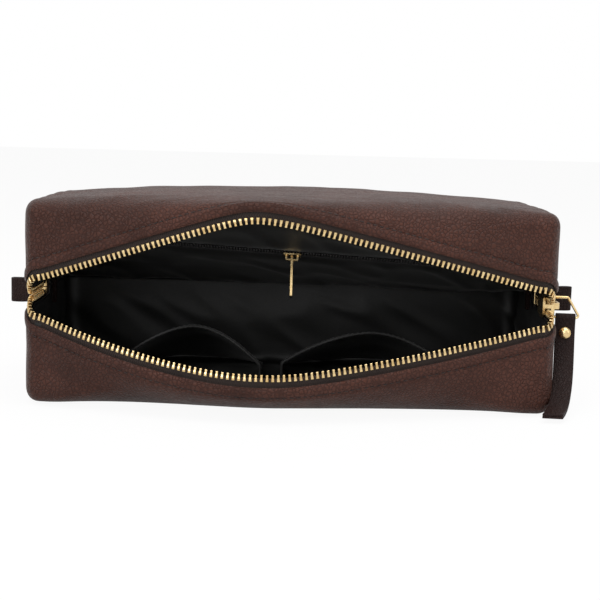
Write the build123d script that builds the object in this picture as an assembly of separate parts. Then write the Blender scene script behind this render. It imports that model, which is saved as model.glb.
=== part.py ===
from build123d import *
from math import asin, atan2, cos, hypot, radians, sin, tan
import os

os.makedirs("parts", exist_ok=True)

# The bag lies on one long wall with its mouth towards -Y, and Z is up. Sizes are in millimetres.
bag_length = 260
bag_depth = 96
end_height = 99
crown_height = 105
edge_radius = 8
leather = 1.4
fabric = 0.6
lining_space = 1.8
seam_gap = 0.3
seam_width = 5
seam_tape = 0.8

# The zip runs round three sides of the mouth, at this height above the table.
zip_height = 52
zip_end_y = -3
tape_thickness = 0.5
tape_show = 4.4
tape_margin = 2.2
tape_clearance = 0.3
tooth_pitch = 2.6
tooth_width = 1.1
tooth_thickness = 2.4
tooth_head = 1.5
tooth_leg = 1.6
tooth_clearance = 0.34
meshed_gap = 1.0
left_gap = 1.8
top_stop_length = 4

# Each side of the open mouth stands forward as a curved flap.
open_line = -38
peak_line = -85
flap_line = -40
mouth_lift = {"upper": 41, "lower": 30}
mouth_peak = {"upper": -16, "lower": -11}
peak_roundness = 0.24
peak_weight = 0.85
flap_floor_gap = 0.4
flap_wall_gap = 0.6
flap_hem = 2.6
flap_reach = 0.78
flap_fall = 0.75
flap_corner_angles = [0, 15, 30, 45, 60, 75]
flap_stations = [122, 118, 113, 105, 92, 76, 58, 40, 24, 10, 0, -6, -11, -16, -21, -28, -38, -54]
flap_stations += [-72, -90, -104, -112, -118, -122]

# Main slider, with its nose towards -Y.
slider_y = -27
slider_length = 12.5
slider_nose = 12.6
slider_tail = 8.6
slider_plate = 1.2
slider_flange = 0.9
slider_clearance = 0.25
nose_gap = 3.2
post_width = 2.0
post_length = 4.5
crown_width = 3
crown_length = 8
crown_wall = 1.1
crown_hole = 2.6

# Wire ring and leather pull strap.
ring_wire = 1.3
ring_width = 14.4
ring_rise = 4.1
ring_drop = 6
ring_top = 7
ring_bend = 1
ring_turn = -6
strap_width = 9.8
strap_leather = 1.25
strap_radius = 40
strap_turn = 68
strap_drift = 2
rivet_radius = 3
rivet_drop = 9.5
rivet_gap = 0.45

# End tabs, each a folded leather loop.
tab_width = 12.5
tab_reach = 18
tab_root = 6
tab_gap = 1.2
tab_y = 3
tab_heights = {"left": 48.5, "right": 51.3}

# Zip pocket in the lining of the upper wall, on a sloping ceiling.
ceiling_y = -36
ceiling_z = 76
ceiling_slope = 18.5
ceiling_tilt = 3
ceiling_back_y = 8
pocket_length = 150
pocket_window = 9
pocket_tape_width = 9
pocket_row_gap = 0.9
coil_width = 1.2
coil_height = 1.2
pocket_slider_length = 9
pocket_slider_width = 6.6
pocket_plate = 0.7
pull_length = 20.5
pull_width = 4.6
pull_thickness = 1.1
pull_bar = 1.2
pouch_depth = 45
pouch_height = 7

# Two slip pockets on the lining of the lower wall.
slip_pockets = {"left": (-54, 78, 27), "right": (38, 84, 23)}
slip_front = -26
slip_back = 38
slip_back_rise = 6

half_length = bag_length / 2
back_y = bag_depth / 2
corner_x = half_length - edge_radius
lining_inset = leather + lining_space
tape_inset = leather + tape_clearance + tape_thickness / 2
flap_lift = leather / 2 + tape_clearance + tape_thickness / 2
tape_tip_gap = 0.2
tape_x = half_length - tape_inset
tape_radius = edge_radius - tape_inset
slider_bore = tooth_thickness + 2 * slider_clearance
slider_half = slider_bore / 2 + slider_plate
nose_y = slider_y - slider_length / 2
tail_y = slider_y + slider_length / 2
ring_x = tape_x + slider_half + crown_hole / 2
sides = {"upper": 1, "lower": -1}


def smooth(part):
    part = min(max(part, 0), 1)
    return part * part * (3 - 2 * part)


def smooth_place(weight):
    # The inverse of the smooth step.
    return 0.5 - sin(asin(1 - 2 * weight) / 3)


def full_line():
    # Where a flap that stood this far forward would follow its joint all the way.
    return open_line - (open_line - peak_line) / smooth_place(peak_weight)


def opening_weight(y):
    return smooth((open_line - y) / (open_line - full_line()))


def opening_y(weight):
    return open_line - smooth_place(weight) * (open_line - full_line())


def ridge(part):
    # A straight-sided hill with a rounded top, 1 in the middle and 0 at the ends.
    low = hypot(1, peak_roundness)
    return (low - hypot(part, peak_roundness)) / (low - peak_roundness)


def front_row(side, x):
    # Depth and half gap of a zip row along the front of the mouth.
    peak = mouth_peak[side]
    span = corner_x - peak if x > peak else corner_x + peak
    corner_weight = opening_weight(flap_line - tape_radius)
    weight = corner_weight + (peak_weight - corner_weight) * ridge(min(abs(x - peak) / span, 1))
    end_gap = nose_gap if x > peak else left_gap
    gap = meshed_gap + (end_gap - meshed_gap) * smooth(abs(x - peak) / span)
    return opening_y(weight), gap + mouth_lift[side] / peak_weight * weight


def end_row(side, end, y):
    # Half gap of a zip row on an end wall.
    if end == "left":
        gap = left_gap
    else:
        gap = meshed_gap + (nose_gap - meshed_gap) * smooth((tail_y - y) / (tail_y - nose_y))
    return gap + mouth_lift[side] / peak_weight * opening_weight(y)


def row_rail(side, step=0.5):
    # Closely spaced points of a zip row, from its deep right end round to its deep left end.
    up = sides[side]
    rail = []
    straight = int((zip_end_y - flap_line) / step)
    for i in range(straight):
        y = zip_end_y - i * step
        rail.append(Vector(tape_x, y, zip_height + up * end_row(side, "right", y)))
    turns = 16
    for i in range(turns):
        angle = radians(90 * i / turns)
        y = flap_line - tape_radius * sin(angle)
        x = corner_x + tape_radius * cos(angle)
        rail.append(Vector(x, y, zip_height + up * end_row(side, "right", y)))
    for i in range(int(2 * corner_x / step) + 1):
        x = corner_x - i * step
        y, gap = front_row(side, x)
        rail.append(Vector(x, y, zip_height + up * gap))
    for i in range(1, turns + 1):
        angle = radians(90 - 90 * i / turns)
        y = flap_line - tape_radius * sin(angle)
        x = -corner_x - tape_radius * cos(angle)
        rail.append(Vector(x, y, zip_height + up * end_row(side, "left", y)))
    for i in range(1, straight + 1):
        y = flap_line + i * step
        rail.append(Vector(-tape_x, y, zip_height + up * end_row(side, "left", y)))
    return rail


def along(rail, distances):
    # Place, direction of travel and outward direction at distances along a rail.
    frames = []
    travelled = 0
    wanted = 0
    for a, b in zip(rail[:-1], rail[1:]):
        length = (b - a).length
        while wanted < len(distances) and distances[wanted] <= travelled + length:
            point = a + (b - a) * ((distances[wanted] - travelled) / length)
            travel = (b - a).normalized()
            outward = Vector(travel.Y, -travel.X, 0).normalized() * -1
            frames.append((point, travel, outward))
            wanted += 1
        travelled += length
    return frames


def rail_length(rail):
    return sum((b - a).length for a, b in zip(rail[:-1], rail[1:]))


def tooth_rows(side):
    rail = row_rail(side)
    start = tooth_pitch if side == "upper" else 1.5 * tooth_pitch
    count = int((rail_length(rail) - start - top_stop_length - tooth_pitch) / tooth_pitch)
    return along(rail, [start + i * tooth_pitch for i in range(count)])


def strip_face(points, thickness):
    # The outline of a thin sheet whose middle follows flat points (across, up).
    upper = []
    lower = []
    for i, (u, z) in enumerate(points):
        before = points[max(i - 1, 0)]
        after = points[min(i + 1, len(points) - 1)]
        length = hypot(after[0] - before[0], after[1] - before[1])
        nu = -(after[1] - before[1]) / length * thickness / 2
        nz = (after[0] - before[0]) / length * thickness / 2
        upper.append((u + nu, z + nz))
        lower.append((u - nu, z - nz))
    return upper + lower[::-1]


def placed_ring(plane, points):
    return [plane.from_local_coords(Vector(u, z, 0)) for u, z in points]


def placed_face(plane, points):
    return flat_face(placed_ring(plane, points))


def flat_face(corners):
    return Face(Wire.make_polygon(corners, close=True))


def skin(rings):
    # A closed solid over a row of rings of corners, each joined to the next by flat triangles.
    faces = [flat_face(rings[0]), flat_face(rings[-1])]
    for ring, following in zip(rings[:-1], rings[1:]):
        for i in range(len(ring)):
            j = (i + 1) % len(ring)
            faces.append(flat_face([ring[i], ring[j], following[j]]))
            faces.append(flat_face([ring[i], following[j], following[i]]))
    return Solid(Shell(faces))


def crown_at(x):
    return end_height + (crown_height - end_height) * (1 - (x / corner_x) ** 2)


def body_block(inset, front):
    # The bag's outer form, drawn in by an inset and cut off flat at the front.
    half = half_length - inset
    radius = edge_radius - inset
    back = back_y - inset
    walls = Polyline((-half, end_height - inset), (-half, inset), (half, inset), (half, end_height - inset))
    top = crown_height - inset
    crown = ThreePointArc((half, end_height - inset), (0, top), (-half, end_height - inset))
    outline = make_face(walls + crown)
    outline = fillet(outline.vertices(), radius)
    block = extrude(Plane.XZ.offset(-back) * outline, amount=back - front)
    return fillet(block.faces().sort_by(Axis.Y)[-1].edges(), radius)


def end_slot(end, side, margin):
    # What is cut from an end wall to leave room for the zip.
    turn = 1 if end == "right" else -1
    up = sides[side]
    front = flap_line - 2
    points = [(zip_end_y + seam_width, -20), (front, -20)]
    for y in [front, nose_y, slider_y, tail_y, zip_end_y + seam_width]:
        points.append((y, end_row(side, end, y) + margin))
    corners = [Vector(turn * (half_length + 5), y, zip_height + up * z) for y, z in points]
    face = Face(Wire.make_polygon(corners, close=True))
    return Solid.extrude(face, Vector(-turn * (edge_radius + 10), 0, 0))


def half_shell(side, inset, wall, margin):
    front = flap_line + seam_gap
    shell = body_block(inset, front) - body_block(inset + wall, front - 5)
    half_gap = seam_gap / 2
    cut_height = 2 * crown_height
    middle = zip_height - sides[side] * (cut_height / 2 - half_gap)
    shell -= Pos(0, 0, middle) * Box(2 * bag_length, 2 * bag_depth, cut_height)
    for end in ("left", "right"):
        shell -= end_slot(end, side, margin)
    return shell


def leather_half(side):
    return half_shell(side, 0, leather, tape_show)


def flap_section(side, plane, end_u, end_z, top_z):
    # One cross-section of a flap, from its fold on the wall to the edge beside the zip.
    up = sides[side]
    start = (flap_wall_gap, top_z)
    hem_z = end_z + up * flap_hem
    first = (flap_wall_gap + flap_reach * (end_u - flap_wall_gap), top_z)
    second = (end_u, hem_z + flap_fall * (top_z - hem_z))
    points = []
    steps = 7
    for i in range(steps + 1):
        t = i / steps
        a, b, c, d = (1 - t) ** 3, 3 * t * (1 - t) ** 2, 3 * t * t * (1 - t), t ** 3
        u = a * start[0] + b * first[0] + c * second[0] + d * end_u
        z = a * start[1] + b * first[1] + c * second[1] + d * hem_z
        points.append((u, z))
    points.append((end_u, end_z))
    return placed_ring(plane, strip_face(points, leather))


def flap_top(side, x):
    # Height of a flap's leather where it leaves the wall.
    if side == "lower":
        return flap_floor_gap + leather / 2
    return crown_at(x) - leather / 2


def flap_corner(side, end, angle):
    # A flap's cross-section where it turns a corner of the mouth.
    turn = 1 if end == "right" else -1
    outward = Vector(turn * cos(radians(angle)), -sin(radians(angle)), 0)
    fold = Vector(turn * corner_x, flap_line, 0)
    plane = Plane(origin=fold, x_dir=outward, z_dir=outward.cross(Vector(0, 0, 1)))
    y = flap_line - tape_radius * sin(radians(angle))
    edge = zip_height + sides[side] * (end_row(side, end, y) + tape_show)
    return flap_section(side, plane, tape_radius + flap_lift, edge, flap_top(side, corner_x))


def flap_front(side, x):
    # A flap's cross-section along the front of the mouth.
    y, gap = front_row(side, x)
    ahead, ahead_gap = front_row(side, x + 1)
    behind, behind_gap = front_row(side, x - 1)
    lean = hypot(1, (ahead - behind) / 2)
    climb = hypot(1, (ahead_gap - behind_gap) / 2)
    plane = Plane(origin=(x, flap_line, 0), x_dir=(0, -1, 0), z_dir=(-1, 0, 0))
    edge = zip_height + sides[side] * (gap + tape_show * climb)
    return flap_section(side, plane, flap_line - y + flap_lift * lean, edge, flap_top(side, x))


def flap(side):
    # The part of a leather half that folds forward into one side of the mouth.
    sections = [flap_corner(side, "right", angle) for angle in flap_corner_angles]
    sections += [flap_front(side, x) for x in flap_stations]
    sections += [flap_corner(side, "left", angle) for angle in flap_corner_angles[::-1]]
    return skin(sections)


def tape_stations(length):
    # Distances of the tape's cross-sections, closer together round the mouth's corners.
    wall = zip_end_y - flap_line
    corner = 1.7 * tape_radius
    margin = 6
    places = []
    place = tape_tip_gap
    while place < length - tape_tip_gap:
        places.append(place)
        from_end = min(place, length - place)
        if from_end < wall - 2:
            place += 5.5
        elif from_end < wall + corner + margin:
            place += 1
        else:
            place += 4
    return places + [length - tape_tip_gap]


def tape(side):
    # Woven zip tape, from the teeth to its sewn margin behind the leather.
    up = sides[side]
    rail = row_rail(side)
    half = tape_thickness / 2
    sections = []
    for point, travel, outward in along(rail, tape_stations(rail_length(rail))):
        across = outward.cross(travel) * up
        if across.Z * up < 0:
            across = across * -1
        width = tape_show + tape_margin
        corners = [point + outward * half, point + across * width + outward * half,
                   point + across * width - outward * half, point - outward * half]
        sections.append(corners)
    return skin(sections)


def tooth_outline():
    half = tooth_thickness / 2
    slot = tape_thickness / 2 + tooth_clearance
    return [(-tooth_leg, slot), (-tooth_leg, half), (tooth_head, half), (tooth_head, -half),
            (-tooth_leg, -half), (-tooth_leg, -slot), (0.15, -slot), (0.15, slot)]


def teeth(side):
    up = sides[side]
    solids = []
    for point, travel, outward in tooth_rows(side):
        across = outward.cross(travel)
        if across.Z * up > 0:
            across = across * -1
        plane = Plane(origin=point, x_dir=across, z_dir=across.cross(outward))
        face = placed_face(plane, tooth_outline())
        shift = plane.z_dir * (-tooth_width / 2)
        solids.append(Solid.extrude(face.moved(Location(shift)), plane.z_dir * tooth_width))
    return Compound(solids)


def top_stop(side):
    # A metal staple on the last stretch of a row, at the left end where the closed slider stops.
    up = sides[side]
    rail = row_rail(side)
    point, travel, outward = along(rail, [rail_length(rail) - top_stop_length / 2 - 0.3])[0]
    across = outward.cross(travel)
    if across.Z * up > 0:
        across = across * -1
    plane = Plane(origin=point, x_dir=across, z_dir=across.cross(outward))
    face = placed_face(plane, tooth_outline())
    shift = plane.z_dir * (-top_stop_length / 2)
    return Solid.extrude(face.moved(Location(shift)), plane.z_dir * top_stop_length)


def bottom_stop():
    # The bar that ends the zip at the right, just past the deepest teeth.
    width = 2 * (meshed_gap + tooth_leg) + 1
    length = 2.4
    bar = Box(tooth_thickness, length, width)
    bar = fillet(bar.edges().filter_by(Axis.Z), 0.5)
    return Pos(tape_x, zip_end_y + seam_gap + length / 2, zip_height) * bar


def slider_plan(grow):
    # Half outline of a slider plate seen from outside, nose at +X.
    nose = slider_nose / 2 + grow
    tail = slider_tail / 2 + grow
    end = slider_length / 2
    shoulder = 0.35 * end
    tip = 0.8 * nose
    points = [(-end, -tail), (-end, tail), (shoulder, nose), (end, tip), (end, -tip), (shoulder, -nose)]
    return make_face(Polyline(*points, close=True))


def main_slider():
    # Built with its nose at +X and its outer face at +Z, then turned onto the end wall.
    outline = fillet(slider_plan(0).vertices(), 1.2)
    solid = extrude(outline, amount=slider_half)
    solid += extrude(outline, amount=-slider_half)
    inner = slider_plan(-slider_flange)
    channel = Pos(0, 0, -slider_bore / 2) * extrude(inner, amount=slider_bore)
    solid -= channel
    for end in (-1, 1):
        solid -= Pos(end * slider_length / 2, 0, 0) * Box(3, slider_tail - 2 * slider_flange, slider_bore)
    nose_mouth = slider_nose * 0.8 - 2 * slider_flange + 1.4
    solid -= Pos(slider_length / 2 - 0.5, 0, 0) * Box(3, nose_mouth, slider_bore)
    tape_slot = tape_thickness + 2 * slider_clearance
    solid -= Box(2 * slider_length, 2 * slider_nose, tape_slot)
    tip = slider_length / 2 - 0.2
    wedge_points = [(tip, post_width / 2), (tip, -post_width / 2), (tip - post_length, 0)]
    wedge = make_face(Polyline(*wedge_points, close=True))
    solid += Pos(0, 0, -slider_half + 0.2) * extrude(wedge, amount=2 * slider_half - 0.4)
    height = crown_hole + crown_wall
    arch = Pos(0, 0, slider_half + height / 2) * Box(crown_length, crown_width, height)
    arch = fillet(arch.faces().sort_by(Axis.Z)[-1].edges().filter_by(Axis.Y), 1.6)
    hole = Box(crown_length - 2 * crown_wall, crown_width * 2, crown_hole)
    arch -= Pos(0, 0, slider_half + crown_hole / 2) * hole
    solid += arch
    place = Plane(origin=(tape_x, slider_y, zip_height), x_dir=(0, -1, 0), z_dir=(1, 0, 0))
    return place * solid


def ring_plane():
    turn = radians(ring_turn)
    outward = Vector(cos(turn), sin(turn), 0)
    return Plane(origin=(ring_x, slider_y, zip_height), x_dir=outward, z_dir=outward.cross(Vector(0, 0, 1)))


def pull_ring():
    # A bent wire ring: its left side turns in the slider's crown and its straight foot carries the strap.
    wire_half = ring_wire / 2
    right = ring_width - ring_wire
    points = [(0, ring_rise), (ring_top, ring_rise), (right, -ring_drop), (0, -ring_drop)]
    path = fillet(make_face(Polyline(*points, close=True)).vertices(), ring_bend).face().outer_wire()
    start = path @ 0
    section = Plane(origin=start, z_dir=path % 0) * Circle(wire_half)
    return ring_plane() * sweep(section, path=path)


def strap_frames():
    # Stations down the strap: centre, across and outward, in world axes.
    plane = ring_plane()
    across = plane.x_dir
    forward = Vector(across.Y, -across.X, 0)
    foot = ring_width - ring_wire
    slant = atan2(ring_rise + ring_drop, foot - ring_top)
    straight_end = foot - ring_bend / tan(slant / 2)
    hook = plane.from_local_coords(Vector((ring_bend + straight_end) / 2, -ring_drop, 0))
    frames = []
    steps = 12
    for i in range(steps + 1):
        part = i / steps
        angle = radians(strap_turn * part)
        out = strap_radius * (1 - cos(angle))
        down = strap_radius * sin(angle)
        centre = hook + forward * out - Vector(0, 0, down) - across * (strap_drift * part * part)
        normal = forward * cos(angle) + Vector(0, 0, sin(angle))
        frames.append((centre, across, normal))
    return frames


def strap_loop():
    # The leather folds over the ring's foot with a running gap round the wire.
    inner = ring_wire / 2 + 0.2
    return inner, inner + strap_leather


def strap_corners(centre, aside, out):
    return [centre + aside + out, centre - aside + out, centre - aside - out, centre + aside - out]


def pull_strap():
    inner, outer = strap_loop()
    frames = strap_frames()
    sections = []
    for i, (centre, across, normal) in enumerate(frames[1:]):
        taper = min(1, (len(frames) - 2 - i) / 1.5 + 0.55)
        half_width = strap_width / 2 * taper
        half_thick = outer + (strap_leather - outer) * min(1, (i + 1) / 2)
        sections.append(strap_corners(centre, across * half_width, normal * half_thick))
    blade = skin(sections)
    centre, across, normal = frames[0]
    eye_plane = Plane(origin=centre - across * (strap_width / 2), x_dir=normal, z_dir=across)
    eye = extrude(eye_plane * (Circle(outer) - Circle(inner)), amount=strap_width)
    lower, lower_across, lower_normal = frames[1]
    neck_top = centre - Vector(0, 0, inner + 0.1)
    neck_half = across * (strap_width / 2)
    neck_thick = outer * 0.98
    neck_faces = [flat_face(strap_corners(neck_top, neck_half, normal * neck_thick)),
                  flat_face(strap_corners(lower, neck_half, lower_normal * neck_thick))]
    neck = loft(neck_faces, ruled=True)
    strap = eye + neck + blade
    bore = extrude(eye_plane * Circle(inner), amount=strap_width)
    return strap - bore


def strap_rivet():
    # A domed rivet head on each face of the strap, below the ring.
    plane, reach = rivet_plane()
    dome = Pos(0, 0, -rivet_radius * 0.75) * Sphere(rivet_radius * 1.25)
    dome = dome & (Pos(0, 0, rivet_radius / 2) * Cylinder(rivet_radius, rivet_radius))
    front = plane * (Pos(0, 0, reach) * dome)
    back = plane * (Rot(180, 0, 0) * Pos(0, 0, reach) * dome)
    return Compound([front.solid(), back.solid()])


def rivet_plane():
    frames = strap_frames()
    part = rivet_drop / (strap_radius * radians(strap_turn)) * (len(frames) - 1)
    centre, across, normal = frames[round(part)]
    return Plane(origin=centre, x_dir=across, z_dir=normal), strap_leather + rivet_gap


def end_tab(end):
    # A leather strip folded into a loop, its two ends sewn into the end wall behind the zip.
    turn = 1 if end == "right" else -1
    outer = leather + tab_gap / 2
    inner = tab_gap / 2
    root_x = half_length - tab_root
    tip_x = half_length + tab_reach - outer
    middle = Pos((root_x + tip_x) / 2, 0)
    length = tip_x - root_x
    loop = middle * Rectangle(length, 2 * outer) + Pos(tip_x, 0) * Circle(outer)
    hole = middle * Rectangle(length, 2 * inner) + Pos(tip_x, 0) * Circle(inner)
    strip = extrude(loop - hole, amount=tab_width)
    strip = Pos(0, tab_y + seam_gap + outer, tab_heights[end] - tab_width / 2) * strip
    return strip if turn > 0 else mirror(strip, about=Plane.YZ)


def tab_hole(end):
    # The slot in the end wall and its lining that lets the tab through.
    turn = 1 if end == "right" else -1
    depth = 2 * leather + tab_gap + 2 * seam_gap
    slot = Box(4 * edge_radius, depth, tab_width + 2 * seam_gap)
    y = tab_y + seam_gap + leather + tab_gap / 2
    return Pos(turn * (half_length - edge_radius), y, tab_heights[end]) * slot


def ceiling_plane():
    slope = radians(ceiling_slope)
    tilt = radians(ceiling_tilt)
    back = Vector(0, cos(slope), -sin(slope))
    along_zip = Vector(cos(tilt), 0, -sin(tilt))
    normal = along_zip.cross(back).normalized()
    return Plane(origin=(0, ceiling_y, ceiling_z), x_dir=along_zip, z_dir=normal)


def on_ceiling(shape):
    return ceiling_plane() * shape


def ceiling_points(x):
    # The ceiling's profile at one place along the bag: depth and height.
    drop = tan(radians(ceiling_slope))
    shift = -x * tan(radians(ceiling_tilt))
    front = flap_line + seam_gap
    return [(front, ceiling_z - (front - ceiling_y) * drop + shift),
            (ceiling_back_y, ceiling_z - (ceiling_back_y - ceiling_y) * drop + shift),
            (back_y - lining_inset - fabric / 2, zip_height + seam_width)]


def upper_lining():
    # A fabric ceiling, sloping down to the back, with end panels and a window for the zip pocket.
    end_x = half_length - lining_inset
    sections = []
    for x in (end_x, -end_x):
        plane = Plane(origin=(x, 0, 0), x_dir=(0, 1, 0), z_dir=(1, 0, 0))
        sections.append(placed_face(plane, strip_face(ceiling_points(x), fabric)))
    ceiling = loft(sections, ruled=True)
    room = half_shell("upper", lining_inset, fabric, tape_show + tape_margin + 0.6)
    below = []
    for x in (end_x + 1, -end_x - 1):
        profile = ceiling_points(x)
        plane = Plane(origin=(x, 0, 0), x_dir=(0, 1, 0), z_dir=(1, 0, 0))
        front_corners = [(flap_line - 1, 0), (flap_line - edge_radius, profile[0][1])]
        back_corners = [(back_y, zip_height + seam_width), (back_y, 0)]
        below.append(placed_face(plane, front_corners + profile + back_corners))
    under = loft(below, ruled=True)
    lining = ceiling + (room & under)
    window = Box(pocket_length, pocket_window, 20)
    lining = lining - on_ceiling(window)
    for end in ("left", "right"):
        lining -= tab_hole(end)
    return lining


def pocket_tapes():
    length = pocket_length + 12
    level = fabric / 2 + 0.1 + tape_thickness / 2
    inner = pocket_row_gap + 0.2
    y = inner + pocket_tape_width / 2
    strips = [Pos(0, side * y, level) * Box(length, pocket_tape_width, tape_thickness) for side in (-1, 1)]
    return on_ceiling(Compound(strips))


def pocket_coil(side):
    # One row of the pocket's nylon coil, under the edge of its tape.
    y = side * (pocket_row_gap + coil_width / 2)
    top = fabric / 2 + 0.1 - 0.02
    coil = Box(pocket_length - 6, coil_width, coil_height)
    coil = chamfer(coil.edges().filter_by(Axis.X).group_by(Axis.Z)[0], 0.35)
    return on_ceiling(Pos(0, y, top - coil_height / 2) * coil)


def pocket_stops():
    x = pocket_length / 2 - 1.4
    width = 2 * (pocket_row_gap + coil_width) + 0.6
    top = fabric / 2 + 0.1 - 0.02
    stops = [Pos(end * x, 0, top - coil_height / 2) * Box(2, width, coil_height) for end in (-1, 1)]
    return on_ceiling(Compound(stops))


def pocket_levels():
    # Heights of the pocket slider's channel: underside and top of the room it needs.
    coil_top = fabric / 2 + 0.1
    return coil_top - coil_height - 0.3, coil_top + tape_thickness + 0.3


def pocket_slider():
    low, high = pocket_levels()
    length = pocket_slider_length
    half = pocket_slider_width / 2
    end = length / 2
    points = [(-end, half * 0.75), (end * 0.2, half), (end, half * 0.8)]
    points += [(x, -y) for x, y in points[::-1]]
    plate = make_face(Polyline(*points, close=True))
    plate = fillet(plate.vertices(), 0.7)
    solid = Pos(0, 0, low - pocket_plate) * extrude(plate, amount=pocket_plate)
    solid += Pos(0, 0, high) * extrude(plate, amount=pocket_plate)
    post = extrude(RectangleRounded(2.4, 1.1, 0.4), amount=high - low + 0.2)
    solid += Pos(end - 1.6, 0, low - 0.1) * post
    base = low - pocket_plate
    drop = pull_bar + 0.5 + 0.8
    arch = Pos(0, 0, base - drop / 2) * Box(6.4, 2.2, drop)
    arch = fillet(arch.faces().sort_by(Axis.Z)[0].edges().filter_by(Axis.Y), 1.0)
    arch -= Pos(0, 0, base - (pull_bar + 0.5) / 2) * Box(4.8, 5, pull_bar + 0.5)
    solid += arch
    return on_ceiling(solid)


def pull_hinge():
    low, high = pocket_levels()
    return ceiling_plane().from_local_coords(Vector(0, 0, low - pocket_plate - pull_bar / 2 - 0.25))


def pocket_pull():
    # A slim slotted bar with a round cross-bar that turns in the slider's arch.
    slope = radians(ceiling_slope)
    axis = Vector(0, cos(slope), -sin(slope))
    plane = Plane(origin=pull_hinge(), x_dir=axis, z_dir=(-1, 0, 0))
    down = -1 if plane.y_dir.Z > 0 else 1
    half = pull_width / 2
    outline = Pos(0, down * (pull_length / 2 - 0.6)) * RectangleRounded(pull_width, pull_length, 1.1)
    window = Pos(0, down * 2.7) * Rectangle(2 * half - 1.7, 4.2)
    slot = Pos(0, down * (pull_length - 8.5)) * SlotOverall(9, 1.7, rotation=90)
    eye = Rectangle(pull_width - 1.7, pull_bar + 0.6)
    body = Pos(0, 0, -pull_thickness / 2) * extrude(outline - window - slot - eye, amount=pull_thickness)
    bar = Rot(0, 90, 0) * Cylinder(pull_bar / 2, pull_width - 0.6)
    return plane * (body + bar)


def pocket_bag():
    # The hanging fabric pouch behind the pocket zip, its rim sewn to the ceiling.
    width = pocket_length + 28
    front = pocket_row_gap + pocket_tape_width + 2
    middle = (pouch_depth - 2 * front) / 2
    rim = fabric / 2 + 0.25
    pouch = Pos(0, middle, pouch_height / 2) * Box(width, pouch_depth, pouch_height)
    pouch = fillet(pouch.edges().filter_by(Axis.Z), 6)
    hollow = Box(width - 2 * fabric, pouch_depth - 2 * fabric, pouch_height)
    hollow = Pos(0, middle, pouch_height / 2 - fabric) * hollow
    return on_ceiling(Pos(0, 0, rim) * (pouch - hollow))


def slip_arch(centre, width, rise, drawn_in):
    half = width / 2 - drawn_in
    floor = lining_inset + fabric + seam_gap
    left = centre - half
    right = centre + half
    curve = ThreePointArc((left, floor), (centre, floor + rise - drawn_in), (right, floor))
    below = floor - 2 * drawn_in - 0.01
    base = Polyline((right, floor), (right, below), (left, below), (left, floor))
    return make_face(curve + base)


def slip_pocket(name):
    # A fabric pocket panel sewn to the floor lining, its free edge standing up in an arch.
    centre, width, rise = slip_pockets[name]
    solids = []
    for inset, reach in ((0, 0), (fabric, 1)):
        front = Plane.XZ.offset(-(slip_front - reach)) * slip_arch(centre, width, rise, inset)
        back = Plane.XZ.offset(-(slip_back + reach)) * slip_arch(centre, width, slip_back_rise, inset)
        solids.append(loft([front.face(), back.face()], ruled=True))
    return solids[0] - solids[1]


def back_seam():
    # The bound seam allowance where the leather halves meet along the bottom of the bag.
    length = 2 * (half_length - edge_radius - seam_width)
    strip = Box(length, seam_tape, 2 * seam_width)
    strip = fillet(strip.edges().filter_by(Axis.X), 0.3)
    return Pos(0, back_y - leather - seam_gap - seam_tape / 2, zip_height) * strip


def end_seam(end):
    # The bound seam allowance on an end wall, from the zip's end to the back.
    turn = 1 if end == "right" else -1
    start = tab_y + 2 * leather + tab_gap + 4 * seam_gap
    length = back_y - edge_radius - start
    strip = Box(seam_tape, length, 2 * seam_width)
    strip = fillet(strip.edges().filter_by(Axis.Y), 0.3)
    x = half_length - leather - seam_gap - seam_tape / 2
    return Pos(turn * x, start + length / 2, zip_height) * strip


def leather_wall(side):
    wall = leather_half(side)
    for end in ("left", "right"):
        wall -= tab_hole(end)
    return wall


def lower_lining():
    lining = half_shell("lower", lining_inset, fabric, tape_show + tape_margin + 0.6)
    for end in ("left", "right"):
        lining -= tab_hole(end)
    return lining


pieces = {
    "upper_leather": leather_wall("upper"),
    "lower_leather": leather_wall("lower"),
    "upper_mouth_flap": flap("upper"),
    "lower_mouth_flap": flap("lower"),
    "upper_zip_tape": tape("upper"),
    "lower_zip_tape": tape("lower"),
    "upper_zip_teeth": teeth("upper"),
    "lower_zip_teeth": teeth("lower"),
    "upper_top_stop": top_stop("upper"),
    "lower_top_stop": top_stop("lower"),
    "bottom_stop": bottom_stop(),
    "main_slider": main_slider(),
    "pull_ring": pull_ring(),
    "pull_strap": pull_strap(),
    "strap_rivet": strap_rivet(),
    "left_end_tab": end_tab("left"),
    "right_end_tab": end_tab("right"),
    "upper_lining": upper_lining(),
    "lower_lining": lower_lining(),
    "pocket_zip_tapes": pocket_tapes(),
    "pocket_coil_front": pocket_coil(-1),
    "pocket_coil_back": pocket_coil(1),
    "pocket_zip_stops": pocket_stops(),
    "pocket_slider": pocket_slider(),
    "pocket_pull": pocket_pull(),
    "pocket_bag": pocket_bag(),
    "left_slip_pocket": slip_pocket("left"),
    "right_slip_pocket": slip_pocket("right"),
    "back_seam_binding": back_seam(),
    "left_seam_binding": end_seam("left"),
    "right_seam_binding": end_seam("right"),
}

for name, shape in pieces.items():
    export_step(shape, f"parts/{name}.step")
    print(name, len(shape.solids()), round(shape.volume, 1))
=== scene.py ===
from bisect import bisect_left
from math import asin, atan2, cos, dist, exp, hypot, pi, radians, sin, tan

import bmesh
import bpy
from mathutils import Matrix, Vector, noise


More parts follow.
